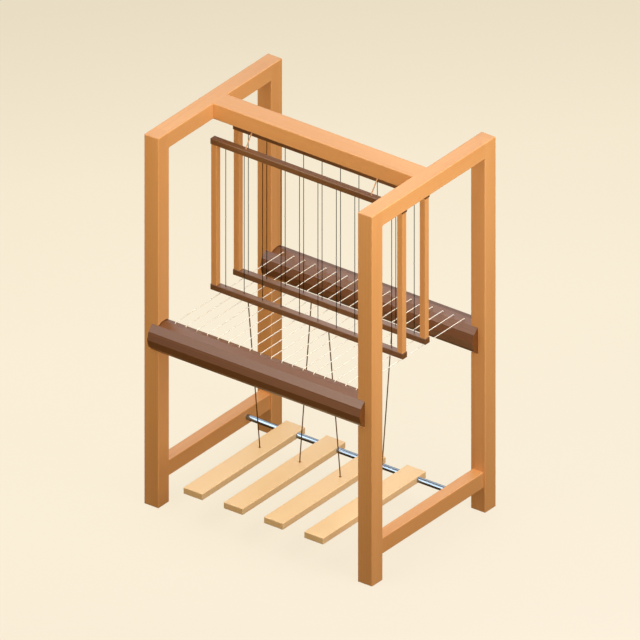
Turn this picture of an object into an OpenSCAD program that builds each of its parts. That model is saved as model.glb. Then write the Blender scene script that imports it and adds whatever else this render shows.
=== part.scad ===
// Counterbalance treadle loom: an open frame with two turning beams, two shafts on pulleys
// and four treadles. The origin is on the floor at the middle of the loom, X runs to the
// right, Y to the back and Z up.

/* [Frame] */
// Width of the frame over its posts
frame_w = 1076; // [980:1:1200]
// Depth of the frame over its posts
frame_d = 780; // [720:1:860]
// Height of the frame
frame_h = 1600; // [1500:1:1750]
// Side of the square posts and width of the top rails
post_side = 68; // [62:1:76]
// Height of the top rails
top_rail_h = 68; // [60:1:80]
// Height of the beam across the top
top_beam_h = 68; // [60:1:68]
// Depth of the beam across the top, from front to back
top_beam_d = 90; // [86:1:110]
// Width of the lower rails
lower_rail_w = 52; // [46:1:58]
// Height of the lower rails
lower_rail_h = 68; // [56:1:80]
// Height of the lower rails above the floor
lower_rail_z = 106; // [95:1:125]
// Rounding of the frame's edges
frame_edge_r = 4; // [2:0.5:6]

/* [Frame joints] */
// Thickness of the tenons
tenon_t = 24; // [18:1:30]
// Length of the tenons
tenon_len = 36; // [28:1:42]
// Shoulder above and below each tenon
tenon_shoulder = 12; // [8:1:16]
// Space left at the bottom of each mortise for glue
glue_gap = 1; // [0.5:0.5:2]

/* [Cloth and warp beams] */
// Radius of the twelve-sided beams over their edges
beam_r = 64.5; // [58:0.5:70]
// Height of the beams' axes above the floor
beam_z = 734; // [690:1:780]
// Space round a beam's end in its post
pocket_gap = 2; // [1.5:0.5:3]
// Radius of the steel gudgeons
gudgeon_r = 12; // [9:0.5:14]
// Length of a gudgeon inside its beam
gudgeon_in = 60; // [40:1:80]
// Wall of the bronze bushes
bush_wall = 4; // [3:0.5:5]
// Thickness of a bush's flange
bush_flange_t = 2.5; // [2:0.5:4]
// How far a bush's flange stands out round the bush
bush_flange_rim = 6; // [4:0.5:8]
// Wood left outside a bush
bush_cover = 12; // [8:1:14]
// Space between a beam's end and the flange
beam_end_gap = 0.5; // [0.3:0.1:1]

/* [Warp] */
// Radius of a warp thread
warp_r = 1.6; // [1.2:0.1:1.8]
// Distance between the threads
warp_pitch = 50.2; // [40:0.1:60]
// Least distance from the outer threads to the frame
warp_margin = 40; // [30:1:60]
// Distance of a thread's hole inwards from its beam's axis
warp_tie_in = 14.5; // [12:0.5:18]
// Depth of a thread's end below the thread
warp_tie_depth = 20; // [15:1:24]
// Space between the threads and the turning beams
warp_gap = 0.35; // [0.3:0.05:0.8]

/* [Shafts] */
// Distance from the middle of the front shaft to that of the rear one
shaft_spacing = 142; // [120:1:160]
// How far a shaft moves up or down from rest
shaft_travel = 17; // [12:1:24]
// Least space between a lowered shaft and the warp
shaft_warp_gap = 0.6; // [0.5:0.1:2]
// Space between a shaft's end and the frame
shaft_side_gap = 15; // [10:1:25]
// Depth of the shafts' bars, from front to back
bar_d = 28; // [25:1:34]
// Height of the shafts' bars
bar_h = 25; // [25:1:32]
// Rounding of the bars' edges
bar_edge_r = 2.5; // [1.5:0.5:4]
// Width of the stiles
stile_w = 26; // [22:1:32]
// Depth of the stiles, from front to back
stile_d = 25; // [20:1:25]
// Distance from a bar's end to the stile
stile_inset = 3; // [2:1:8]
// Rounding of the stiles' edges
stile_edge_r = 2; // [1:0.5:3]
// Side of the stiles' tenons
stile_tenon = 12; // [10:1:14]
// Length of the stiles' tenons
stile_tenon_len = 13; // [10:1:14]

/* [Heddles] */
// Distance between the heddles
heddle_pitch = 87; // [60:1:110]
// Least distance from the outer heddles to the stiles
heddle_margin = 30; // [20:1:40]
// Radius of a heddle's wire
heddle_r = 1; // [0.8:0.1:1.2]
// Radius of a heddle's eye, at the middle of its wire
eye_r = 3; // [2.6:0.1:4]
// Radius of the eye's wire
eye_wire_r = 1.15; // [1.1:0.05:1.3]
// Depth of a heddle's end in its bar
heddle_seat = 8; // [6:0.5:9]

/* [Pulleys and hanger cords] */
// Distance between the two hanger cords
hanger_spacing = 592; // [480:1:660]
// Height of the top beam above the shafts
hanger_drop = 60; // [50:1:75]
// Radius of the hanger cords
hanger_r = 2.4; // [2:0.1:3]
// Radius of the cord's middle on its pulley
pulley_pitch_r = 20; // [16:0.5:22]
// How far a pulley's rim stands out past the cord's middle
pulley_rim = 4; // [3:0.5:5]
// Width of a pulley
pulley_w = 14; // [10:0.5:16]
// Height of the pulleys' pins above the top beam's underside
pulley_rise = 8; // [6:0.5:12]
// Radius of the pulleys' pins
pulley_pin_r = 4; // [3:0.5:5]
// Space between a pulley and each cheek of its housing
pulley_side_gap = 1; // [0.5:0.5:2]
// Space between a pulley's rim and its housing
pulley_top_gap = 2; // [1.5:0.5:4]
// Thickness of the housings' sheet steel
housing_t = 2; // [1.5:0.5:3]
// Depth of the housings' cheeks, from front to back
housing_d = 30; // [24:1:36]
// Space in front of and behind each pulley in its slot
slot_room = 12; // [10:0.5:14]

/* [Treadles] */
// Distance between the treadles
treadle_pitch = 190; // [150:1:205]
// Width of a treadle
treadle_w = 90; // [70:1:110]
// Wood above and below the rod's bore
treadle_wall = 2.45; // [2:0.05:6]
// Length of a treadle behind the rod
treadle_tail = 48; // [30:1:70]
// Rounding of the treadles' edges
treadle_edge_r = 3; // [2:0.5:5]
// Radius of the steel rod that the treadles turn on
rod_r = 11.5; // [9:0.5:13]
// Distance of the rod behind the front posts' faces
rod_back = 570; // [540:1:610]
// Length of the rod inside each lower rail
rod_seat = 30; // [20:1:36]

/* [Tie cords] */
// Radius of the cords that tie the treadles up
tie_r = 2.25; // [1.8:0.05:2.6]
// Radius of the hole for a tie cord in its treadle
tie_hole_r = 6; // [5.5:0.5:7]
// Radius of the knot under a treadle
knot_r = 8; // [7.5:0.5:9]

/* [Hidden] */
$fn = 48;

// Colours of the materials
frame_wood = "#d99c5c";
dark_wood = "#6b4630";
pale_wood = "#f2cb97";
steel = "#8b99a6";
bronze = "#b08d57";
wire_grey = "#4b4e55";
warp_cream = "#fbeedb";
hanger_tan = "#c9a27a";
tie_brown = "#7d5a37";

// Running clearance, from radius to radius
run_gap = 0.05;
// Clearance of what is pressed or glued into a round hole
press_gap = 0.02;
// Clearance of a cord in its hole
cord_gap = 0.5;
// How far cuts run past the faces they open
cut = 1;
// Length of a cord inside its bar
cord_seat = 14;
// Clearance round a cord in a pulley's groove
groove_gap = 0.3;
// How far a hanger cord runs straight out of its bar
hanger_lead = 3.5;
// Bend radius of a hanger cord where it leans towards its pulley
hanger_bend_r = 10;
// How far a tie cord runs straight out of its bar and its treadle
tie_lead = 12;
// Bend radius of a tie cord where it starts to lean
tie_bend_r = 60;
// Bend radius of a warp thread as it turns into its beam
warp_bend_r = 6.4;
// Number of treadles
treadle_count = 4;
// Flat sides of a beam and round a cord
beam_sides = 12;
cord_sides = 8;
// Pieces in the arcs of a bend and of the turn over a pulley
bend_steps = 3;
turn_steps = 10;

post_x = frame_w / 2 - post_side / 2;
post_y = frame_d / 2 - post_side / 2;
inner_x = frame_w / 2 - post_side;
inner_y = frame_d / 2 - post_side;
top_rail_z = frame_h - top_rail_h / 2;
top_beam_z = frame_h - top_beam_h / 2;
beam_underside = frame_h - top_beam_h;
lower_rail_mid_z = lower_rail_z + lower_rail_h / 2;
mortise_len = tenon_len + glue_gap + cut;
mortise_mid = mortise_len / 2 - cut - post_side / 2;

bush_r = gudgeon_r + run_gap + bush_wall;
bush_len = post_side / 2 - bush_cover;
beam_end_x = post_x - bush_flange_t - beam_end_gap;
warp_z = beam_z + sqrt(pow(beam_r, 2) - pow(warp_tie_in, 2)) + warp_gap + warp_r;
warp_end_y = post_y - warp_tie_in;
warp_gaps = floor(2 * (inner_x - warp_margin) / warp_pitch);

shaft_y = shaft_spacing / 2;
shaft_bottom = warp_z + warp_r + shaft_warp_gap + shaft_travel;
shaft_top = beam_underside - hanger_drop;
shaft_half_w = inner_x - shaft_side_gap;
stile_x = shaft_half_w - stile_inset - stile_w / 2;
stile_h = shaft_top - shaft_bottom - 2 * bar_h;
heddle_half_w = stile_x - stile_w / 2 - heddle_margin;
heddle_gaps = floor(2 * heddle_half_w / heddle_pitch);
eye_z = (shaft_top + shaft_bottom) / 2;

hanger_x = hanger_spacing / 2;
pulley_z = beam_underside + pulley_rise;
pulley_rim_r = pulley_pitch_r + pulley_rim;
housing_inner = pulley_w + 2 * pulley_side_gap;
housing_w = housing_inner + 2 * housing_t;
slot_top = pulley_z + pulley_rim_r + pulley_top_gap + housing_t;
slot_d = 2 * (pulley_rim_r + slot_room);

rod_y = rod_back - frame_d / 2;
rod_z = lower_rail_mid_z;
lower_rail_inner_x = post_x - lower_rail_w / 2;
treadle_t = 2 * (rod_r + run_gap + treadle_wall);
treadle_front = -post_y - beam_r;
treadle_len = rod_y + treadle_tail - treadle_front;
treadle_top = rod_z + treadle_t / 2;
treadle_underside = rod_z - treadle_t / 2;

// Place of copy i of a row that is centred on the loom
function row_x(i, gaps, pitch) = (i - gaps / 2) * pitch;
function treadle_x(i) = row_x(i - 1, treadle_count - 1, treadle_pitch);
// Treadles 1 and 3 pull the front shaft down, 2 and 4 the rear one
function tie_side(i) = i % 2 == 1 ? -1 : 1;

function unit(v) = v / norm(v);

// Points of the arc of radius r that rounds corner b between a and c
function corner_arc(a, b, c, r, steps) =
    let (u = unit(a - b), v = unit(c - b), half = acos(u * v) / 2, turn = 180 - 2 * half,
         middle = b + unit(u + v) * r / sin(half),
         s = b + u * r / tan(half) - middle,
         e = b + v * r / tan(half) - middle)
    [for (i = [0:steps])
        middle + (sin(turn * (1 - i / steps)) * s + sin(turn * i / steps) * e) / sin(turn)];

// A route through the corners, each inner one rounded with its own radius and steps
function rounded_route(corners, radii, steps) =
    let (last = len(corners) - 1)
    concat([corners[0]],
        [for (i = [1:last - 1])
            each corner_arc(corners[i - 1], corners[i], corners[i + 1],
                radii[i - 1], steps[i - 1])],
        [corners[last]]);

function warp_route(x) =
    rounded_route([[x, -warp_end_y, warp_z - warp_tie_depth], [x, -warp_end_y, warp_z],
        [x, warp_end_y, warp_z], [x, warp_end_y, warp_z - warp_tie_depth]],
        [warp_bend_r, warp_bend_r], [bend_steps, bend_steps]);

// The legs of a hanger cord lean so that they touch the pulley's pitch circle
hanger_rise = pulley_z - shaft_top - hanger_lead;
hanger_lean = atan2(hanger_rise, shaft_y)
    + asin(pulley_pitch_r / norm([hanger_rise, shaft_y]));
hanger_apex = shaft_top + hanger_lead + shaft_y * tan(hanger_lean);

function hanger_route(x) =
    rounded_route([[x, -shaft_y, shaft_top - cord_seat],
        [x, -shaft_y, shaft_top + hanger_lead], [x, 0, hanger_apex],
        [x, shaft_y, shaft_top + hanger_lead], [x, shaft_y, shaft_top - cord_seat]],
        [hanger_bend_r, pulley_pitch_r, hanger_bend_r],
        [bend_steps, turn_steps, bend_steps]);

function tie_route(x, side) =
    rounded_route([[x, side * shaft_y, shaft_bottom + cord_seat],
        [x, side * shaft_y, shaft_bottom - tie_lead],
        [x, 0, treadle_top + tie_lead], [x, 0, treadle_underside - knot_r]],
        [tie_bend_r, tie_bend_r], [bend_steps, bend_steps]);

// A rectangle on the origin, with the corners marked 1 rounded, from top right anticlockwise
module soft_rect(w, h, r, corners = [1, 1, 1, 1]) {
    ends = [[1, 1], [-1, 1], [-1, -1], [1, -1]];
    difference() {
        square([w, h], center = true);
        for (i = [0:3])
            if (corners[i] == 1)
                translate([ends[i].x * w / 2, ends[i].y * h / 2])
                    square(2 * r, center = true);
    }
    for (i = [0:3])
        if (corners[i] == 1)
            translate([ends[i].x * (w / 2 - r), ends[i].y * (h / 2 - r)])
                circle(r);
}

// Extrusions of a profile along X and Y, centred, with the profile's second axis up
module along_x(length) {
    rotate([90, 0, 90])
        linear_extrude(length, center = true)
            children();
}

module along_y(length) {
    rotate([90, 0, 0])
        linear_extrude(length, center = true)
            children();
}

// A bar on the origin with every edge rounded
module eased_bar(size, r) {
    intersection() {
        linear_extrude(size.z, center = true)
            soft_rect(size.x, size.y, r);
        along_y(size.y)
            soft_rect(size.x, size.z, r);
        along_x(size.x)
            soft_rect(size.y, size.z, r);
    }
}

// A rod along X, centred on the origin
module rod_x(r, length) {
    rotate([0, 90, 0])
        cylinder(r = r, h = length, center = true);
}

// What is drawn at the right and the back, carried to the side and end that the signs give
module placed(side, end) {
    mirror([side < 0 ? 1 : 0, 0, 0])
        mirror([0, end < 0 ? 1 : 0, 0])
            children();
}

// A tube with flat sides round a route that stays in one plane across X
module tube(route, r) {
    last = len(route) - 1;
    across = [1, 0, 0];
    along = [for (i = [0:last]) unit(route[min(i + 1, last)] - route[max(i - 1, 0)])];
    points = [for (i = [0:last], k = [0:cord_sides - 1])
        let (a = 360 * (k + 0.5) / cord_sides)
        route[i] + r * (cos(a) * across + sin(a) * cross(along[i], across))];
    walls = [for (i = [0:last - 1], k = [0:cord_sides - 1])
        let (a = i * cord_sides + k, b = i * cord_sides + (k + 1) % cord_sides)
        each [[a, a + cord_sides, b], [b, a + cord_sides, b + cord_sides]]];
    first_end = [for (k = [0:cord_sides - 1]) k];
    last_end = [for (k = [cord_sides - 1:-1:0]) last * cord_sides + k];
    polyhedron(points, concat(walls, [first_end, last_end]));
}

module tenon(length) {
    cube([tenon_t, length, top_rail_h - 2 * tenon_shoulder], center = true);
}

module lower_tenon(length) {
    cube([tenon_t, length, lower_rail_h - 2 * tenon_shoulder], center = true);
}

// The edges that meet the top rail stay square along it
module post_blank() {
    joint_z = frame_h - top_rail_h;
    intersection() {
        union() {
            linear_extrude(joint_z)
                soft_rect(post_side, post_side, frame_edge_r);
            translate([0, 0, joint_z])
                linear_extrude(top_rail_h)
                    soft_rect(post_side, post_side, frame_edge_r, [1, 1, 0, 0]);
        }
        translate([0, 0, frame_h / 2])
            along_y(post_side)
                soft_rect(post_side, frame_h, frame_edge_r);
        translate([0, 0, frame_h / 2])
            along_x(post_side)
                soft_rect(post_side, frame_h, frame_edge_r, [1, 0, 1, 1]);
    }
}

// A right rear post, halved where the beam's end turns in it
module post() {
    color(frame_wood)
        translate([post_x, post_y, 0])
            difference() {
                post_blank();
                translate([0, mortise_mid, top_rail_z])
                    tenon(mortise_len);
                translate([0, mortise_mid, lower_rail_mid_z])
                    lower_tenon(mortise_len);
                translate([-post_side / 2, 0, beam_z])
                    rod_x(beam_r + pocket_gap, post_side);
                translate([0, 0, beam_z])
                    rod_x(bush_r + press_gap, 2 * bush_len);
            }
}

// A right top rail, square on its inner edges where the top beam meets it
module top_rail() {
    side_len = inner_y - top_beam_d / 2;
    color(frame_wood)
        translate([post_x, 0, top_rail_z])
            difference() {
                union() {
                    for (end = [-1, 1])
                        translate([0, end * (inner_y - side_len / 2), 0])
                            along_y(side_len)
                                soft_rect(post_side, top_rail_h, frame_edge_r);
                    along_y(top_beam_d)
                        soft_rect(post_side, top_rail_h, frame_edge_r, [1, 0, 0, 1]);
                    tenon(2 * (inner_y + tenon_len));
                }
                translate([mortise_mid, 0, top_beam_z - top_rail_z])
                    top_beam_tenon(mortise_len);
            }
}

module lower_rail() {
    color(frame_wood)
        translate([post_x, 0, lower_rail_mid_z])
            difference() {
                union() {
                    along_y(2 * inner_y)
                        soft_rect(lower_rail_w, lower_rail_h, frame_edge_r);
                    lower_tenon(2 * (inner_y + tenon_len));
                }
                translate([-lower_rail_w / 2, rod_y, 0])
                    rod_x(rod_r + run_gap, 2 * (rod_seat + glue_gap));
            }
}

module top_beam_tenon(length) {
    cube([length, tenon_t, top_beam_h - 2 * tenon_shoulder], center = true);
}

// The beam over the shafts, with a slot from below for each pulley
module top_beam() {
    color(frame_wood)
        difference() {
            translate([0, 0, top_beam_z]) {
                along_x(2 * inner_x)
                    soft_rect(top_beam_d, top_beam_h, frame_edge_r);
                top_beam_tenon(2 * (inner_x + tenon_len));
            }
            for (side = [-1, 1])
                translate([side * hanger_x, 0, beam_underside - cut])
                    linear_extrude(slot_top - beam_underside + cut)
                        square([housing_w, slot_d], center = true);
        }
}

// The rear beam; the front one is its mirror image
module beam() {
    color(dark_wood)
        difference() {
            translate([0, post_y, beam_z])
                along_x(2 * beam_end_x)
                    circle(beam_r, $fn = beam_sides);
            for (side = [-1, 1])
                translate([side * beam_end_x, post_y, beam_z])
                    rod_x(gudgeon_r + press_gap, 2 * (gudgeon_in + glue_gap));
            for (i = [0:warp_gaps])
                translate([row_x(i, warp_gaps, warp_pitch), warp_end_y,
                    warp_z - warp_tie_depth])
                    cylinder(r = warp_r + cord_gap, h = beam_r);
        }
}

module gudgeons() {
    pin_end = post_x + bush_len - 2 * beam_end_gap;
    pin_start = beam_end_x - gudgeon_in;
    color(steel)
        for (side = [-1, 1])
            translate([side * (pin_start + pin_end) / 2, post_y, beam_z])
                rod_x(gudgeon_r, pin_end - pin_start);
}

module bush() {
    color(bronze)
        translate([post_x, post_y, beam_z])
            rotate([0, 90, 0])
                difference() {
                    union() {
                        cylinder(r = bush_r, h = bush_len);
                        translate([0, 0, -bush_flange_t])
                            cylinder(r = bush_r + bush_flange_rim, h = bush_flange_t);
                    }
                    cylinder(r = gudgeon_r + run_gap, h = 2 * post_side, center = true);
                }
}

module beam_bushes() {
    for (side = [-1, 1], end = [-1, 1])
        placed(side, end)
            bush();
}

module warp_threads() {
    color(warp_cream)
        for (i = [0:warp_gaps])
            tube(warp_route(row_x(i, warp_gaps, warp_pitch)), warp_r);
}

// A bar of a shaft with its inner face up: seats for the heddles and stiles in that face,
// and holes for two cords in the other, at the places across the loom that holes gives
module shaft_bar(holes, hole_r) {
    stile_mortise = stile_tenon_len + glue_gap + cut;
    difference() {
        translate([0, 0, bar_h / 2])
            eased_bar([2 * shaft_half_w, bar_d, bar_h], bar_edge_r);
        for (x = holes)
            translate([x, 0, -cut])
                cylinder(r = hole_r, h = cord_seat + cut);
        for (i = [0:heddle_gaps])
            translate([row_x(i, heddle_gaps, heddle_pitch), 0, bar_h - heddle_seat])
                cylinder(r = heddle_r + run_gap, h = bar_h);
        for (side = [-1, 1])
            translate([side * stile_x, 0, bar_h + cut - stile_mortise / 2])
                cube([stile_tenon, stile_tenon, stile_mortise], center = true);
    }
}

module shaft_top_bar(end) {
    color(dark_wood)
        translate([0, end * shaft_y, shaft_top])
            mirror([0, 0, 1])
                shaft_bar([-hanger_x, hanger_x], hanger_r + cord_gap);
}

module shaft_bottom_bar(end) {
    holes = [for (i = [1:treadle_count]) if (tie_side(i) == end) treadle_x(i)];
    color(dark_wood)
        translate([0, end * shaft_y, shaft_bottom])
            shaft_bar(holes, tie_r + cord_gap);
}

module stile(side, end) {
    color(frame_wood)
        translate([side * stile_x, end * shaft_y, eye_z]) {
            linear_extrude(stile_h, center = true)
                soft_rect(stile_w, stile_d, stile_edge_r);
            cube([stile_tenon, stile_tenon, stile_h + 2 * stile_tenon_len], center = true);
        }
}

// A wire with a round eye halfway up, its ends in the two bars
module heddle() {
    wire_len = stile_h / 2 + heddle_seat - eye_r;
    for (end = [-1, 1])
        translate([0, 0, end * (eye_r + wire_len / 2)])
            cylinder(r = heddle_r, h = wire_len, center = true);
    rotate([90, 0, 0])
        rotate_extrude()
            translate([eye_r, 0])
                circle(eye_wire_r);
}

module heddles(end) {
    color(wire_grey)
        for (i = [0:heddle_gaps])
            translate([row_x(i, heddle_gaps, heddle_pitch), end * shaft_y, eye_z])
                heddle();
}

// A steel strip bent into a U, with the pulley's pin through its cheeks
module pulley_housing(side) {
    cheek_h = slot_top - pulley_z;
    color(steel)
        translate([side * hanger_x, 0, 0])
            difference() {
                union() {
                    translate([0, 0, slot_top - housing_t / 2])
                        cube([housing_w, housing_d, housing_t], center = true);
                    for (cheek = [-1, 1])
                        translate([cheek * (housing_w - housing_t) / 2, 0, pulley_z]) {
                            rod_x(housing_d / 2, housing_t);
                            translate([0, 0, cheek_h / 2])
                                cube([housing_t, housing_d, cheek_h], center = true);
                        }
                }
                translate([0, 0, pulley_z])
                    rod_x(pulley_pin_r + press_gap, housing_w + cut);
            }
}

module pulley_pin(side) {
    color(steel)
        translate([side * hanger_x, 0, pulley_z])
            rod_x(pulley_pin_r, housing_w);
}

// A grooved wheel: the groove holds the lower half of the cord
module pulley(side) {
    bore_r = pulley_pin_r + run_gap;
    color(pale_wood)
        translate([side * hanger_x, 0, pulley_z])
            rotate([0, 90, 0])
                rotate_extrude()
                    difference() {
                        translate([bore_r, -pulley_w / 2])
                            square([pulley_rim_r - bore_r, pulley_w]);
                        translate([pulley_pitch_r, 0])
                            circle(hanger_r + groove_gap);
                        translate([pulley_pitch_r, -hanger_r - groove_gap])
                            square([pulley_rim + cut, 2 * (hanger_r + groove_gap)]);
                    }
}

module hanger_cord(side) {
    color(hanger_tan)
        tube(hanger_route(side * hanger_x), hanger_r);
}

module treadle_rod() {
    color(steel)
        translate([0, rod_y, rod_z])
            rod_x(rod_r, 2 * (lower_rail_inner_x + rod_seat));
}

module treadle(i) {
    color(pale_wood)
        translate([treadle_x(i), 0, rod_z])
            difference() {
                translate([0, treadle_front + treadle_len / 2, 0])
                    eased_bar([treadle_w, treadle_len, treadle_t], treadle_edge_r);
                translate([0, rod_y, 0])
                    rod_x(rod_r + run_gap, treadle_w + cut);
                cylinder(r = tie_hole_r, h = treadle_t + cut, center = true);
            }
}

// A cord from its shaft to the knot under its treadle
module tie_cord(i) {
    color(tie_brown) {
        tube(tie_route(treadle_x(i), tie_side(i)), tie_r);
        translate([treadle_x(i), 0, treadle_underside - knot_r])
            sphere(knot_r);
    }
}

placed(-1, -1) post();  // front_left_post
placed(1, -1) post();  // front_right_post
placed(-1, 1) post();  // rear_left_post
placed(1, 1) post();  // rear_right_post
placed(-1, 1) top_rail();  // left_top_rail
placed(1, 1) top_rail();  // right_top_rail
placed(-1, 1) lower_rail();  // left_lower_rail
placed(1, 1) lower_rail();  // right_lower_rail
top_beam();
placed(1, -1) beam();  // cloth_beam
placed(1, -1) gudgeons();  // cloth_beam_gudgeons
placed(1, 1) beam();  // warp_beam
placed(1, 1) gudgeons();  // warp_beam_gudgeons
beam_bushes();
warp_threads();
shaft_top_bar(-1);  // front_top_bar
shaft_bottom_bar(-1);  // front_bottom_bar
stile(-1, -1);  // front_left_stile
stile(1, -1);  // front_right_stile
heddles(-1);  // front_heddles
shaft_top_bar(1);  // rear_top_bar
shaft_bottom_bar(1);  // rear_bottom_bar
stile(-1, 1);  // rear_left_stile
stile(1, 1);  // rear_right_stile
heddles(1);  // rear_heddles
pulley_housing(-1);  // left_pulley_housing
pulley_housing(1);  // right_pulley_housing
pulley_pin(-1);  // left_pulley_pin
pulley_pin(1);  // right_pulley_pin
pulley(-1);  // left_pulley
pulley(1);  // right_pulley
hanger_cord(-1);  // left_hanger_cord
hanger_cord(1);  // right_hanger_cord
treadle_rod();
treadle(1);  // treadle_1
treadle(2);  // treadle_2
treadle(3);  // treadle_3
treadle(4);  // treadle_4
tie_cord(1);  // tie_cord_1
tie_cord(2);  // tie_cord_2
tie_cord(3);  // tie_cord_3
tie_cord(4);  // tie_cord_4
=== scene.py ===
import bpy
import math
import random
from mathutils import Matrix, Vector


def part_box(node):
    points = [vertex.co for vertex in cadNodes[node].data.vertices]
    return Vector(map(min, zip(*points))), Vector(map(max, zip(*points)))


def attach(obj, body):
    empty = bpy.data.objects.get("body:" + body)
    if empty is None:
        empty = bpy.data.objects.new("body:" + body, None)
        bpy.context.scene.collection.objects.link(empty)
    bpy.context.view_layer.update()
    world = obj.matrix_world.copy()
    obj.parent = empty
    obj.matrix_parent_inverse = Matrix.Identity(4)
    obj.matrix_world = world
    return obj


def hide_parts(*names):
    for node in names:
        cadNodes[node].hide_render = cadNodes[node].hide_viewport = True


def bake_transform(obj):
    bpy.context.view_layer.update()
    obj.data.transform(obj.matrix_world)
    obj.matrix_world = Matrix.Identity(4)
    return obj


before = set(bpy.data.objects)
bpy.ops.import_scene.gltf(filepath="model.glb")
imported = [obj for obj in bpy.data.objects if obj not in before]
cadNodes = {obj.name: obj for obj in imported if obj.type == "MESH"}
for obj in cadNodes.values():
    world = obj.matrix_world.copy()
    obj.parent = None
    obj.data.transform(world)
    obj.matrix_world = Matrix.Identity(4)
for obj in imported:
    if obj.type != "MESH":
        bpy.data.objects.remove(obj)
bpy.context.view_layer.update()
scene = bpy.context.scene
alongX, alongY, alongZ = 0, 1, 2
print("frame loaded:", len(cadNodes), "nodes")


def aimed(direction):
    return direction.to_track_quat("-Z", "Y").to_euler()


# Camera: a parallel view from the front right
view = {"azimuth": 36.87, "elevation": 29.25, "target": (0, 0, 0.8), "width": 2.4166, "away": 6.0}

azimuth = math.radians(view["azimuth"])
elevation = math.radians(view["elevation"])
toCamera = Vector((math.sin(azimuth) * math.cos(elevation),
                   -math.cos(azimuth) * math.cos(elevation), math.sin(elevation)))
cameraData = bpy.data.cameras.new("camera")
cameraData.type = "ORTHO"
cameraData.ortho_scale = view["width"]
camera = bpy.data.objects.new("camera", cameraData)
camera.location = Vector(view["target"]) + toCamera * view["away"]
camera.rotation_euler = aimed(-toCamera)
scene.collection.objects.link(camera)
scene.camera = camera
scene.view_settings.view_transform = "Standard"
print("camera set")


# Materials

def colour(red, green, blue):  # 0 to 255, as a picture has them
    return tuple(((c / 255 + 0.055) / 1.055) ** 2.4 for c in (red, green, blue)) + (1,)


def newMaterial(name):
    material = bpy.data.materials.new(name)
    material.use_nodes = True
    tree = material.node_tree
    tree.nodes.clear()
    output = tree.nodes.new("ShaderNodeOutputMaterial")
    shader = tree.nodes.new("ShaderNodeBsdfPrincipled")
    tree.links.new(shader.outputs["BSDF"], output.inputs["Surface"])
    place = tree.nodes.new("ShaderNodeTexCoord").outputs["Object"]
    return material, tree, shader, place


def addNode(tree, kind, inputs, **settings):  # inputs are values or other nodes' outputs
    node = tree.nodes.new(kind)
    for key, value in settings.items():
        setattr(node, key, value)
    for key, value in inputs.items():
        if isinstance(value, bpy.types.NodeSocket):
            tree.links.new(value, node.inputs[key])
        else:
            node.inputs[key].default_value = value
    return node


def calc(tree, operation, *values):
    return addNode(tree, "ShaderNodeMath", dict(enumerate(values)), operation=operation).outputs[0]


def remap(tree, value, low, high, toLow=0.0, toHigh=1.0, soft=False):
    inputs = {"Value": value, "From Min": low, "From Max": high, "To Min": toLow, "To Max": toHigh}
    kind = "SMOOTHSTEP" if soft else "LINEAR"
    return addNode(tree, "ShaderNodeMapRange", inputs, interpolation_type=kind).outputs["Result"]


def noise(tree, place, scale, detail=2.0, roughness=0.5):
    inputs = {"Vector": place, "Scale": scale, "Detail": detail, "Roughness": roughness}
    return addNode(tree, "ShaderNodeTexNoise", inputs).outputs["Fac"]


def ramp(tree, factor, stops):
    node = addNode(tree, "ShaderNodeValToRGB", {"Fac": factor})
    elements = node.color_ramp.elements
    while len(elements) < len(stops):
        elements.new(0.5)
    for element, (position, tone) in zip(elements, stops):
        element.position = position
        element.color = tone
    return node.outputs["Color"]


def mixTone(tree, factor, first, second):  # 0, 6 and 7 are the factor and the two colours
    inputs = {0: factor, 6: first, 7: second}
    return addNode(tree, "ShaderNodeMix", inputs, data_type="RGBA").outputs[2]


def addBump(tree, shader, height, strength, distance):
    inputs = {"Height": height, "Strength": strength, "Distance": distance}
    bump = addNode(tree, "ShaderNodeBump", inputs)
    tree.links.new(bump.outputs["Normal"], shader.inputs["Normal"])


def edgeWear(tree, place, centre, half, along, reach, ends):
    # 1 on the arrises of a square piece, falling to 0 within reach of them
    axes = addNode(tree, "ShaderNodeSeparateXYZ", {"Vector": place}).outputs
    depth = []
    for axis in (alongX, alongY, alongZ):
        offset = calc(tree, "SUBTRACT", axes[axis], centre[axis])
        depth.append(calc(tree, "SUBTRACT", calc(tree, "ABSOLUTE", offset), half[axis]))
    a, b = [depth[axis] for axis in (alongX, alongY, alongZ) if axis != along]
    edge = calc(tree, "MINIMUM", a, b)
    if ends:
        other = calc(tree, "MINIMUM", calc(tree, "MAXIMUM", a, b), depth[along])
        edge = calc(tree, "MAXIMUM", edge, other)
    bare = 0.2 * reach  # worn through from here outwards
    return remap(tree, edge, -reach, -bare, soft=True)


# What all the woods share
anyWood = {"pithSpread": (0.8, 1.25), "startSpread": 3.0, "waveAtScale1": 0.314, "ringDetail": 2.0,
           "ringDetailScale": 0.12, "ringFront": 0.92, "contrast": 0.35, "pores": 1300.0,
           "fibreRange": (0.3, 0.7), "sheenSwing": 0.05, "relief": 0.0006, "fibreRelief": 0.6,
           "bump": 0.25, "gloss": 1.0, "coatRoughness": 0.35, "wearPatch": 26.0,
           "wearPatchRange": (0.35, 0.6)}


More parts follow.
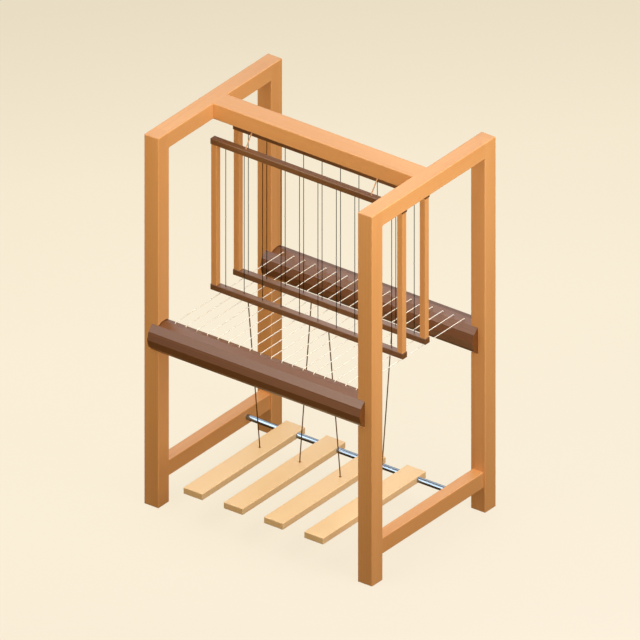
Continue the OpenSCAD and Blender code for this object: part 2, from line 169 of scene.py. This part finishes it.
def woodMaterial(name, wood, along, centre, seed, half=None, ends=False):
    # A solid grain: rings round a pith beside the piece, drawn out along it
    material, tree, shader, place = newMaterial(name)
    spread = random.Random(seed)
    turn = spread.uniform(0, 2 * math.pi)
    reach = wood["pith"] * spread.uniform(*wood["pithSpread"])
    acrossA, acrossB = [axis for axis in (alongX, alongY, alongZ) if axis != along]
    pith = list(centre)
    pith[acrossA] += reach * math.cos(turn)
    pith[acrossB] += reach * math.sin(turn)
    pith[along] += spread.uniform(-wood["startSpread"], wood["startSpread"])
    stretch = [1, 1, 1]
    stretch[along] = wood["stretch"]
    tilt = [0, 0, 0]
    tilt[acrossA] = spread.uniform(-1, 1) * wood["runOut"]
    tilt[acrossB] = spread.uniform(-1, 1) * wood["runOut"]
    inputs = {"Vector": place, "Location": pith, "Rotation": tilt, "Scale": stretch}
    grain = addNode(tree, "ShaderNodeMapping", inputs, vector_type="TEXTURE").outputs[0]
    inputs = {"Vector": grain, "Scale": wood["waveAtScale1"] / wood["ringGap"],
              "Distortion": wood["wobble"], "Detail": wood["ringDetail"],
              "Detail Scale": wood["ringDetailScale"]}
    wave = addNode(tree, "ShaderNodeTexWave", inputs, wave_type="RINGS",
                   rings_direction="XYZ"[along], wave_profile="SAW").outputs["Fac"]
    rings = remap(tree, wave, 0.0, wood["ringFront"], soft=True)
    broad = noise(tree, grain, wood["broad"], 3.0)
    fibre = noise(tree, grain, wood["fibre"], 2.0)
    pores = noise(tree, grain, wood["pores"], 1.0)
    parts = calc(tree, "ADD", calc(tree, "MULTIPLY", rings, wood["ringShare"]), broad)
    parts = calc(tree, "ADD", parts, calc(tree, "MULTIPLY", fibre, wood["fibreShare"]))
    middle = 0.5 * (1 + wood["ringShare"] + wood["fibreShare"])
    figure = remap(tree, parts, middle - wood["contrast"], middle + wood["contrast"])
    tone = ramp(tree, figure, [(0.0, wood["dark"]), (0.5, wood["middle"]), (1.0, wood["light"])])
    if half:
        worn = edgeWear(tree, place, centre, half, along, wood["wearReach"], ends)
        patch = remap(tree, noise(tree, place, wood["wearPatch"], 3.0), *wood["wearPatchRange"])
        worn = calc(tree, "MULTIPLY", calc(tree, "MULTIPLY", worn, patch), wood["wear"])
        tone = mixTone(tree, worn, tone, wood["worn"])
    tree.links.new(tone, shader.inputs["Base Color"])
    roughness = remap(tree, fibre, *wood["fibreRange"], wood["roughness"] + wood["sheenSwing"],
                      wood["roughness"] - wood["sheenSwing"])
    tree.links.new(roughness, shader.inputs["Roughness"])
    height = calc(tree, "ADD", calc(tree, "MULTIPLY", fibre, wood["fibreRelief"]), pores)
    addBump(tree, shader, height, wood["bump"], wood["relief"])
    shader.inputs["Specular IOR Level"].default_value = wood["gloss"]
    shader.inputs["Coat Weight"].default_value = wood["coat"]
    shader.inputs["Coat Roughness"].default_value = wood["coatRoughness"]
    return material


def dress(node, material):
    for materialSlot in cadNodes[node].material_slots:
        materialSlot.material = material


def planBox(node):  # to the micrometre, as the plan has it
    return [[round(v, 6) for v in corner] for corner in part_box(node)]


def middleAndHalf(node):
    low, high = planBox(node)
    return [(a + b) / 2 for a, b in zip(low, high)], [(b - a) / 2 for a, b in zip(low, high)]


# Cords: the routes of the plan, as evenly spaced points

def cornerArc(a, b, c, radius, steps):
    u, v = (a - b).normalized(), (c - b).normalized()
    half = u.angle(v) / 2
    turn = math.pi - 2 * half
    middle = b + (u + v).normalized() * radius / math.sin(half)
    start = b + u * radius / math.tan(half) - middle
    end = b + v * radius / math.tan(half) - middle
    arc = []
    for i in range(steps + 1):
        reach = start * math.sin(turn * (1 - i / steps)) + end * math.sin(turn * i / steps)
        arc.append(middle + reach / math.sin(turn))
    return arc


def evenRoute(corners, radii, gap):
    arcSteps = 24
    corners = [Vector(c) for c in corners]
    points = [corners[0]]
    for i, radius in enumerate(radii):
        points += cornerArc(*corners[i:i + 3], radius, arcSteps)
    points.append(corners[-1])
    lengths = [0.0]
    for a, b in zip(points, points[1:]):
        lengths.append(lengths[-1] + (b - a).length)
    count = round(lengths[-1] / gap)
    route, k = [], 0
    for i in range(count + 1):
        s = lengths[-1] * i / count
        while k < len(points) - 2 and lengths[k + 1] < s:
            k += 1
        share = (s - lengths[k]) / max(1e-9, lengths[k + 1] - lengths[k])
        route.append(points[k].lerp(points[k + 1], share))
    return route


def routeLength(route):
    return sum((b - a).length for a, b in zip(route, route[1:]))


def laidMesh(name, route, cord, startLength=0.0):
    # A cord laid from strands: a lobed section that turns as it runs along a route across X
    sides = cord["strands"] * cord["lobeSides"]
    verts, s = [], startLength
    for i, point in enumerate(route):
        if i:
            s += (point - route[i - 1]).length
        ahead = (route[min(i + 1, len(route) - 1)] - route[max(i - 1, 0)]).normalized()
        across = Vector((1, 0, 0))
        up = ahead.cross(across)
        twist = 2 * math.pi * s / cord["lay"]
        for k in range(sides):
            angle = 2 * math.pi * k / sides
            lobe = abs(math.cos(cord["strands"] * (angle - twist) / 2))
            r = cord["radius"] * (cord["crest"] - cord["groove"] * (1 - lobe) ** cord["narrow"])
            verts.append(point + across * r * math.cos(angle) + up * r * math.sin(angle))
    faces = []
    for i in range(len(route) - 1):
        for k in range(sides):
            a, b = i * sides + k, i * sides + (k + 1) % sides
            faces.append((a, a + sides, b + sides, b))
    faces.append(tuple(range(sides)))
    faces.append(tuple(range(len(verts) - 1, len(verts) - 1 - sides, -1)))
    mesh = bpy.data.meshes.new(name)
    mesh.from_pydata([tuple(v) for v in verts], [], faces)
    mesh.polygons.foreach_set("use_smooth", [len(p.vertices) == 4 for p in mesh.polygons])
    mesh.update()
    piece = bpy.data.objects.new(name, mesh)
    scene.collection.objects.link(piece)
    return piece


# What all the cords share in their lay and look
anyCord = {"narrow": 1.5, "patch": 18.0, "fibreShare": 0.6, "figure": (0.36, 0.5, 0.64), "bump": 0.5,
           "relief": 0.0004}


def cordMaterial(name, cord):
    material, tree, shader, place = newMaterial(name)
    fibre = noise(tree, place, cord["fibre"], 3.0, 0.6)
    patch = noise(tree, place, cord["patch"], 2.0)
    figure = calc(tree, "ADD", calc(tree, "MULTIPLY", fibre, cord["fibreShare"]),
                  calc(tree, "MULTIPLY", patch, 1 - cord["fibreShare"]))
    tone = ramp(tree, figure, list(zip(cord["figure"], cord["tones"])))
    tree.links.new(tone, shader.inputs["Base Color"])
    addBump(tree, shader, fibre, cord["bump"], cord["relief"])
    shader.inputs["Roughness"].default_value = cord["roughness"]
    shader.inputs["Specular IOR Level"].default_value = cord["gloss"]
    shader.inputs["Sheen Weight"].default_value = cord["sheen"]
    return material


# The hung shafts, from the top of their top bars to the underside of their bottom bars
shaftY = middleAndHalf("rear_top_bar")[0][1]
shaftTop = planBox("rear_top_bar")[1][2]
shaftBottom = planBox("rear_bottom_bar")[0][2]

# Tie cords: from a hole in the shaft's bottom bar down through a treadle to a knot
tieCord = dict(anyCord, radius=0.00225, strands=3, lobeSides=6, lay=0.016, crest=1.04, groove=0.34,
               gap=0.0016, seat=0.014, lead=0.012, bend=0.06, tail=0.012, knotDrop=0.008,
               knotSize=0.0019, knotDepth=1.2, knotSteps=96, knotRounding=3, fibre=900.0,
               roughness=0.85, sheen=0.0, gloss=0.0,
               tones=[colour(76, 44, 6), colour(94, 56, 9), colour(114, 72, 15)])


def tieKnot(name, x, z):  # a trefoil drawn tight round the cord
    curve = bpy.data.curves.new(name, "CURVE")
    curve.dimensions = "3D"
    spline = curve.splines.new("POLY")
    spline.points.add(tieCord["knotSteps"] - 1)
    spline.use_cyclic_u = True
    size = tieCord["knotSize"]
    for i, point in enumerate(spline.points):
        t = 2 * math.pi * i / tieCord["knotSteps"]
        point.co = (x + size * (math.sin(t) + 2 * math.sin(2 * t)),
                    size * (math.cos(t) - 2 * math.cos(2 * t)),
                    z - tieCord["knotDepth"] * size * math.sin(3 * t), 1)
    curve.bevel_depth = tieCord["radius"]
    curve.bevel_resolution = tieCord["knotRounding"]
    knot = bpy.data.objects.new(name, curve)
    scene.collection.objects.link(knot)
    bpy.ops.object.select_all(action="DESELECT")
    knot.select_set(True)
    bpy.context.view_layer.objects.active = knot
    bpy.ops.object.convert(target="MESH")
    bpy.ops.object.shade_smooth()
    return knot


tieMaterial = cordMaterial("tieRope", tieCord)
for number in range(1, 5):
    body, side = ("front_shaft", -1) if number % 2 else ("rear_shaft", 1)
    treadleLow, treadleHigh = planBox(f"treadle_{number}")
    x = (treadleLow[0] + treadleHigh[0]) / 2
    knotZ = treadleLow[2] - tieCord["knotDrop"]
    route = evenRoute([(x, side * shaftY, shaftBottom + tieCord["seat"]),
                       (x, side * shaftY, shaftBottom - tieCord["lead"]),
                       (x, 0, treadleHigh[2] + tieCord["lead"]), (x, 0, knotZ - tieCord["tail"])],
                      [tieCord["bend"], tieCord["bend"]], tieCord["gap"])
    rope = laidMesh(f"tie_rope_{number}", route, tieCord)
    knot = tieKnot(f"tie_knot_{number}", x, knotZ)
    for piece in (rope, knot):
        piece.data.materials.append(tieMaterial)
        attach(piece, body)
    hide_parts(f"tie_cord_{number}")
print("tie cords made")

# Hanger cords: from bar to bar over a pulley, in two halves that meet on top of it. They are
# the shortest cords, and with the other 40 declared they stay undeclared. The apex is where the
# two straight legs would meet, and a leg bends between its top and its foot, given as (y, z).
hangerCord = dict(anyCord, radius=0.0024, strands=3, lobeSides=6, lay=0.017, crest=1.04, groove=0.34,
                  gap=0.0016, seat=0.014, lead=0.0035, bend=0.010, overPulley=0.020, apex=1.57426,
                  legTop=(0.0162, 1.5517), legFoot=(0.0691, 1.4781), fibre=900.0, roughness=0.85,
                  sheen=0.03, gloss=0.02,
                  tones=[colour(168, 120, 76), colour(188, 140, 94), colour(206, 160, 114)])

hangerMaterial = cordMaterial("hangerRope", hangerCord)
for side in ("left", "right"):
    x = middleAndHalf(f"{side}_pulley")[0][0]
    inBar, outOfBar = shaftTop - hangerCord["seat"], shaftTop + hangerCord["lead"]
    corners = [(x, -shaftY, inBar), (x, -shaftY, outOfBar), (x, 0, hangerCord["apex"]),
               (x, shaftY, outOfBar), (x, shaftY, inBar)]
    radii = [hangerCord["bend"], hangerCord["overPulley"], hangerCord["bend"]]
    route = evenRoute(corners, radii, hangerCord["gap"])
    if len(route) % 2 == 0:  # an odd count puts a point on top
        route = evenRoute(corners, radii, routeLength(route) / len(route))
    top = len(route) // 2
    halves = {"front": (route[:top + 1], 0.0, -1), "rear": (route[top:], routeLength(route[:top + 1]), 1)}
    for end, (part, startLength, sign) in halves.items():
        rope = laidMesh(f"hanger_rope_{side}_{end}", part, hangerCord, startLength)
        rope.data.materials.append(hangerMaterial)
        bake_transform(rope)
        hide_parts(f"{side}_hanger_cord")
print("hanger cords made")

# Warp: each thread in two halves that meet under the shafts.
# The outer threads and their ends are where the solids have them, and those have flat sides.
warpThread = dict(anyCord, radius=0.0016, strands=2, lobeSides=4, lay=0.011, crest=1.03, groove=0.14,
                  gap=0.0013, count=18, solidSides=8, intoBeam=0.02, bend=0.0064, bendStart=0.31,
                  bendEnd=0.335, fibre=1200.0, roughness=0.8, sheen=0.08, gloss=0.1,
                  throughLight=1.0, throughTone=(1.0, 0.9, 0.8), throughDepth=0.004,
                  tones=[colour(229, 213, 185), colour(235, 219, 193), colour(240, 226, 202)])

warpMaterial = cordMaterial("warpYarn", warpThread)
yarn = warpMaterial.node_tree.nodes["Principled BSDF"].inputs  # light comes through the pale cotton
yarn["Subsurface Weight"].default_value = warpThread["throughLight"]
yarn["Subsurface Radius"].default_value = warpThread["throughTone"]
yarn["Subsurface Scale"].default_value = warpThread["throughDepth"]
flatReach = warpThread["radius"] * math.cos(math.pi / warpThread["solidSides"])
outerX, endY, height = [round(high - flatReach, 6) for high in planBox("warp_threads")[1]]
for end, beam, sign in (("front", "cloth_beam", -1), ("rear", "warp_beam", 1)):
    route = evenRoute([(0, sign * endY, height - warpThread["intoBeam"]), (0, sign * endY, height),
                       (0, 0, height)], [warpThread["bend"]], warpThread["gap"])
    pattern = laidMesh("warp_pattern", route, warpThread)
    pattern.data.materials.append(warpMaterial)
    for i in range(warpThread["count"]):
        x = outerX * (2 * i / (warpThread["count"] - 1) - 1)
        thread = pattern.copy()
        thread.data = pattern.data.copy()
        thread.name = f"warp_thread_{end}_{i + 1:02d}"
        scene.collection.objects.link(thread)
        thread.location.x = x
        bpy.context.view_layer.update()
        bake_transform(thread)
        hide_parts("warp_threads")
    bpy.data.objects.remove(pattern)
print("warp made")

# Wood of the frame
frameWood = dict(anyWood, dark=colour(204, 137, 71), middle=colour(213, 147, 80),
                 light=colour(221, 157, 90), worn=colour(228, 172, 112), wear=0.06, wearReach=0.005,
                 pith=0.11, stretch=14.0, runOut=0.008, ringGap=0.0075, wobble=6.0, broad=9.0,
                 fibre=380.0, ringShare=0.16, fibreShare=0.3, roughness=0.5, coat=0.3)
frameParts = {"front_left_post": alongZ, "front_right_post": alongZ, "rear_left_post": alongZ,
              "rear_right_post": alongZ, "left_top_rail": alongY, "right_top_rail": alongY,
              "left_lower_rail": alongY, "right_lower_rail": alongY, "top_beam": alongX,
              "front_left_stile": alongZ, "front_right_stile": alongZ, "rear_left_stile": alongZ,
              "rear_right_stile": alongZ}
for seed, (node, along) in enumerate(frameParts.items()):
    centre, half = middleAndHalf(node)
    dress(node, woodMaterial(f"frameWood_{node}", frameWood, along, centre, seed, half))
print("frame wood done")

# Dark wood of the beams and the shafts' bars
darkWood = dict(anyWood, dark=colour(96, 52, 17), middle=colour(108, 61, 22),
                light=colour(121, 72, 30), worn=colour(140, 90, 48), wear=0.12, wearReach=0.004,
                pith=0.07, stretch=12.0, runOut=0.006, ringGap=0.006, wobble=8.0, broad=11.0,
                fibre=420.0, ringShare=0.4, fibreShare=0.4, roughness=0.4, coat=0.45)
barWood = dict(darkWood, dark=colour(95, 55, 21), middle=colour(107, 65, 28),
               light=colour(120, 77, 37), worn=colour(140, 97, 55))
for seed, node in enumerate(("cloth_beam", "warp_beam"), 40):
    centre = middleAndHalf(node)[0]
    dress(node, woodMaterial(f"darkWood_{node}", darkWood, alongX, centre, seed))
for seed, node in enumerate(("front_top_bar", "front_bottom_bar", "rear_top_bar", "rear_bottom_bar"), 50):
    centre, half = middleAndHalf(node)
    dress(node, woodMaterial(f"barWood_{node}", barWood, alongX, centre, seed, half, ends=True))
print("dark wood done")

# Pale wood of the treadles and the turned pulleys
paleWood = dict(anyWood, dark=colour(231, 186, 123), middle=colour(237, 195, 134),
                light=colour(242, 203, 146), worn=colour(246, 213, 166), wear=0.15, wearReach=0.005,
                pith=0.12, stretch=14.0, runOut=0.01, ringGap=0.008, wobble=6.0, broad=10.0,
                fibre=380.0, ringShare=0.3, fibreShare=0.3, roughness=0.5, coat=0.6)
for seed, node in enumerate(("treadle_1", "treadle_2", "treadle_3", "treadle_4"), 61):
    centre, half = middleAndHalf(node)
    dress(node, woodMaterial(f"paleWood_{node}", paleWood, alongY, centre, seed, half, ends=True))
for seed, node in enumerate(("left_pulley", "right_pulley"), 70):
    centre = middleAndHalf(node)[0]
    dress(node, woodMaterial(f"paleWood_{node}", paleWood, alongX, centre, seed))
print("pale wood done")

# Metal, drawn or turned along one axis
anyMetal = {"patch": 30.0, "figure": (0.35, 0.65), "sheenSwing": (0.05, -0.04), "bump": 0.12,
            "relief": 0.0003}
steel = dict(anyMetal, dark=colour(142, 158, 174), light=colour(158, 174, 190), roughness=0.15,
             lines=900.0, stretch=30.0)
bronze = dict(anyMetal, dark=colour(150, 112, 62), light=colour(184, 144, 88), roughness=0.32,
              lines=700.0, stretch=0.2)
wire = dict(anyMetal, dark=colour(32, 29, 25), light=colour(46, 43, 37), roughness=0.4,
            lines=1200.0, stretch=20.0)


def metalMaterial(name, metal, along, polish=None):
    material, tree, shader, place = newMaterial(name)
    stretch = [1, 1, 1]
    stretch[along] = metal["stretch"]
    inputs = {"Vector": place, "Scale": stretch}
    drawn = addNode(tree, "ShaderNodeMapping", inputs, vector_type="TEXTURE").outputs[0]
    lines = noise(tree, drawn, metal["lines"], 2.0)
    patch = noise(tree, place, metal["patch"], 3.0, 0.6)
    figure = calc(tree, "ADD", calc(tree, "MULTIPLY", lines, 0.5), calc(tree, "MULTIPLY", patch, 0.5))
    tone = ramp(tree, figure, list(zip(metal["figure"], (metal["dark"], metal["light"]))))
    if polish:  # the eyes, rubbed bright at one height
        height = addNode(tree, "ShaderNodeSeparateXYZ", {"Vector": place}).outputs[2]
        away = calc(tree, "ABSOLUTE", calc(tree, "SUBTRACT", height, polish["height"]))
        rubbing = remap(tree, away, polish["reach"], polish["full"])
        tone = mixTone(tree, rubbing, tone, polish["tone"])
    tree.links.new(tone, shader.inputs["Base Color"])
    roughness = remap(tree, figure, *metal["figure"],
                      *[metal["roughness"] + swing for swing in metal["sheenSwing"]])
    tree.links.new(roughness, shader.inputs["Roughness"])
    addBump(tree, shader, lines, metal["bump"], metal["relief"])
    shader.inputs["Metallic"].default_value = 1.0
    return material


steelMaterial = metalMaterial("steel", steel, alongX)
for node in ("treadle_rod", "cloth_beam_gudgeons", "warp_beam_gudgeons", "left_pulley_housing",
             "right_pulley_housing", "left_pulley_pin", "right_pulley_pin"):
    dress(node, steelMaterial)
dress("beam_bushes", metalMaterial("bronze", bronze, alongX))
print("metal done")

# Heddles: two wires soldered together, parting round an eye halfway up
heddle = {"wire": 0.00078, "sides": 10, "count": 10, "pitch": 0.087, "eyeHeight": 0.012,
          "eyeHalf": 0.0021, "eyeSteps": 8, "seat": 0.0075, "seatShare": 0.55, "sunk": 0.0002,
          "shoulder": 0.0008, "smoothBelow": 50}
rubbed = {"height": (shaftTop + shaftBottom) / 2, "reach": 0.007, "full": 0.0056,
          "tone": colour(92, 92, 90)}


def heddleRings(bottom, top):
    # Up one wire of the heddle at X = 0: height, X, and share of the wire's thickness
    thin = (heddle["seatShare"] * heddle["wire"], heddle["seatShare"])
    full = (heddle["wire"], 1.0)
    half = heddle["eyeHeight"] / 2
    rings = [(bottom - heddle["seat"], *thin), (bottom - heddle["sunk"], *thin),
             (bottom + heddle["shoulder"], *full)]
    for i in range(heddle["eyeSteps"] + 1):
        z = half * (2 * i / heddle["eyeSteps"] - 1)
        bow = (heddle["eyeHalf"] - heddle["wire"]) * math.cos(math.pi * z / 2 / half) ** 2
        rings.append(((bottom + top) / 2 + z, heddle["wire"] + bow, 1.0))
    return rings + [(top - heddle["shoulder"], *full), (top + heddle["sunk"], *thin),
                    (top + heddle["seat"], *thin)]


def heddleRow(name, y, rings):
    firstX = -(heddle["count"] - 1) / 2 * heddle["pitch"]
    bpy.ops.object.select_all(action="DESELECT")
    bpy.ops.mesh.primitive_circle_add(vertices=heddle["sides"], radius=heddle["wire"], fill_type="NGON",
                                      location=(firstX + rings[0][1], y, rings[0][0]))
    row = bpy.context.active_object
    row.name = name
    bpy.ops.object.mode_set(mode="EDIT")
    bpy.ops.mesh.select_all(action="SELECT")
    bpy.ops.transform.resize(value=(rings[0][2], rings[0][2], 1))
    for (z0, x0, share0), (z1, x1, share1) in zip(rings, rings[1:]):
        bpy.ops.mesh.extrude_region_move(TRANSFORM_OT_translate={"value": (x1 - x0, 0, z1 - z0)})
        if share1 != share0:
            bpy.ops.transform.resize(value=(share1 / share0, share1 / share0, 1))
    bpy.ops.object.mode_set(mode="OBJECT")
    bpy.ops.object.transform_apply(location=True, rotation=True, scale=True)
    row.location.x = -firstX  # to the middle, where the other wire is its mirror image
    bpy.ops.object.transform_apply(location=True, rotation=False, scale=False)
    mirror = row.modifiers.new("mirror", "MIRROR")
    mirror.use_axis[0] = True
    mirror.use_mirror_merge = False
    bpy.ops.object.modifier_apply(modifier="mirror")
    row.location.x = firstX
    bpy.ops.object.transform_apply(location=True, rotation=False, scale=False)
    copies = row.modifiers.new("copies", "ARRAY")
    copies.count = heddle["count"]
    copies.use_relative_offset = False
    copies.use_constant_offset = True
    copies.constant_offset_displace = (heddle["pitch"], 0, 0)
    bpy.ops.object.modifier_apply(modifier="copies")
    bpy.ops.object.mode_set(mode="EDIT")
    bpy.ops.mesh.select_all(action="SELECT")
    bpy.ops.mesh.normals_make_consistent(inside=False)
    bpy.ops.object.mode_set(mode="OBJECT")
    bpy.ops.object.shade_smooth_by_angle(angle=math.radians(heddle["smoothBelow"]))
    return row


wireMaterial = metalMaterial("heddleWire", wire, alongZ, rubbed)
for end, y in (("front", -shaftY), ("rear", shaftY)):
    rings = heddleRings(planBox(f"{end}_bottom_bar")[1][2], planBox(f"{end}_top_bar")[0][2])
    heddles = heddleRow(f"{end}_heddle_wires", y, rings)
    heddles.data.materials.append(wireMaterial)
    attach(heddles, f"{end}_shaft")
    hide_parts(f"{end}_heddles")
print("heddles made")

# Studio: a pale floor and a faint sky. The floor's tones run away from the viewer with painted
# shade that darkens its near and far ends, and bounce is its colour for the light that it throws up.
# Reflections see the backdrop by height, which turns into what is behind the loom, and beyond is what the
# viewer sees past the floor's edge.
studio = {"floorSize": 16.0, "flat": 0.82, "away": (-0.76, 0.68), "reach": (-1.0, 4.0),
          "tones": [(0.0, colour(243, 231, 210)), (0.24, colour(248, 237, 214)),
                    (0.48, colour(253, 241, 217)), (0.73, colour(253, 241, 215)),
                    (1.0, colour(244, 232, 205))],
          "bounce": colour(100, 75, 43), "sky": (1.0, 1.0, 1.0, 1), "skyStrength": 0.09,
          "backdrop": [(0.0, colour(70, 69, 68)), (0.22, colour(225, 229, 234)),
                       (0.4, colour(240, 243, 247)), (0.72, colour(242, 245, 248)),
                       (0.88, colour(96, 96, 98))],
          "behind": [(0.0, colour(84, 82, 80)), (0.3, colour(236, 240, 245)),
                     (0.86, colour(250, 251, 253)), (0.98, colour(140, 140, 142))],
          "turn": (0.12, 0.42), "beyond": colour(229, 218, 192)}


def straightRays(tree, ray):  # 1 for rays from the camera, also through glass, and 0 for the others
    return calc(tree, "MAXIMUM", ray["Is Camera Ray"], ray["Is Transmission Ray"])


bpy.ops.object.select_all(action="DESELECT")
bpy.ops.mesh.primitive_plane_add(size=studio["floorSize"], location=(0, 0, 0))
floor = bpy.context.active_object
floor.name = "floor"
floorMaterial = bpy.data.materials.new("floor")
floorMaterial.use_nodes = True
tree = floorMaterial.node_tree
tree.nodes.clear()
output = tree.nodes.new("ShaderNodeOutputMaterial")
place = tree.nodes.new("ShaderNodeTexCoord").outputs["Object"]
axes = addNode(tree, "ShaderNodeSeparateXYZ", {"Vector": place}).outputs
depth = calc(tree, "ADD", calc(tree, "MULTIPLY", axes[0], studio["away"][0]),
             calc(tree, "MULTIPLY", axes[1], studio["away"][1]))
# painted shade: the floor's tones darken towards its near and far ends
tone = ramp(tree, remap(tree, depth, *studio["reach"]), studio["tones"])
ray = tree.nodes.new("ShaderNodeLightPath").outputs
direct = straightRays(tree, ray)
matt = addNode(tree, "ShaderNodeBsdfDiffuse", {"Color": mixTone(tree, direct, studio["bounce"], tone)})
glow = addNode(tree, "ShaderNodeEmission", {"Color": tone})
inputs = {0: calc(tree, "MULTIPLY", direct, studio["flat"]), 1: matt.outputs[0], 2: glow.outputs[0]}
both = addNode(tree, "ShaderNodeMixShader", inputs)
tree.links.new(both.outputs[0], output.inputs["Surface"])
floor.data.materials.append(floorMaterial)

world = bpy.data.worlds.new("studio")
scene.world = world
world.use_nodes = True
tree = world.node_tree
tree.nodes.clear()
output = tree.nodes.new("ShaderNodeOutputWorld")
sky = addNode(tree, "ShaderNodeBackground", {"Color": studio["sky"], "Strength": studio["skyStrength"]})
place = tree.nodes.new("ShaderNodeTexCoord").outputs["Generated"]
aim = addNode(tree, "ShaderNodeSeparateXYZ", {"Vector": place}).outputs
tone = mixTone(tree, remap(tree, aim[1], *studio["turn"], soft=True),
               ramp(tree, aim[2], studio["backdrop"]), ramp(tree, aim[2], studio["behind"]))
ray = tree.nodes.new("ShaderNodeLightPath").outputs
direct = straightRays(tree, ray)
inputs = {"Color": mixTone(tree, direct, tone, studio["beyond"]), "Strength": 1.0}
backdrop = addNode(tree, "ShaderNodeBackground", inputs)
seen = calc(tree, "MAXIMUM", direct, ray["Is Glossy Ray"])
both = addNode(tree, "ShaderNodeMixShader", {0: seen, 1: sky.outputs[0], 2: backdrop.outputs[0]})
tree.links.new(both.outputs[0], output.inputs["Surface"])

# Lamps: the fills cast no shadow, and those that aren't mirrored stay out of the wood's shine
lampTarget = Vector((0, 0, 0.9))
white, warm, cool = (1.0, 1.0, 1.0), (1.0, 0.95, 0.8), (0.84, 0.87, 1.0)
lamps = {"sun": {"kind": "SUN", "at": (0.0, 0.0, 5.0), "spread": 0.9, "power": 0.345,
                 "tone": white, "shadow": True, "mirrored": True},
         "ceiling": {"kind": "AREA", "at": (-0.6, 0.4, 3.0), "spread": 5.0, "power": 38.0,
                     "tone": white, "shadow": True, "mirrored": True},
         "front": {"kind": "AREA", "at": (-0.5, -2.4, 2.9), "spread": 3.0, "power": 35.0,
                   "tone": warm, "shadow": True, "mirrored": False},
         "frontFill": {"kind": "AREA", "at": (-0.2, -3.2, 3.2), "spread": 1.5, "power": 54.0,
                       "tone": warm, "shadow": False, "mirrored": True},
         "right": {"kind": "AREA", "at": (2.4, -0.3, 2.6), "spread": 1.5, "power": 36.0,
                   "tone": cool, "shadow": True, "mirrored": False},
         "rightFill": {"kind": "AREA", "at": (3.8, -0.5, 2.8), "spread": 1.5, "power": 142.0,
                       "tone": cool, "shadow": False, "mirrored": False},
         "backFill": {"kind": "SUN", "at": (-3.0, 4.2, 1.15), "spread": 0.1, "power": 1.5,
                      "tone": (1.0, 0.97, 0.92), "shadow": False, "mirrored": False},
         "shine": {"kind": "AREA", "at": (-1.56, -1.83, 1.72), "spread": 2.6, "power": 50.0,
                   "tone": (0.92, 0.98, 1.0), "shadow": True, "mirrored": True}}
for name, lamp in lamps.items():
    lampData = bpy.data.lights.new(name, lamp["kind"])
    if lamp["kind"] == "SUN":
        lampData.angle = lamp["spread"]
    else:
        lampData.size = lamp["spread"]
    lampData.energy = lamp["power"]
    lampData.color = lamp["tone"]
    lampData.use_shadow = lamp["shadow"]
    lampObject = bpy.data.objects.new(name, lampData)
    lampObject.visible_glossy = lamp["mirrored"]
    if name == "shine":  # this one shows only in the steel rod
        lampObject.light_linking.receiver_collection = bpy.data.collections.new("polished")
        lampObject.light_linking.receiver_collection.objects.link(cadNodes["treadle_rod"])
    lampObject.location = lamp["at"]
    lampObject.rotation_euler = aimed(lampTarget - Vector(lamp["at"]))
    scene.collection.objects.link(lampObject)
print("studio done")
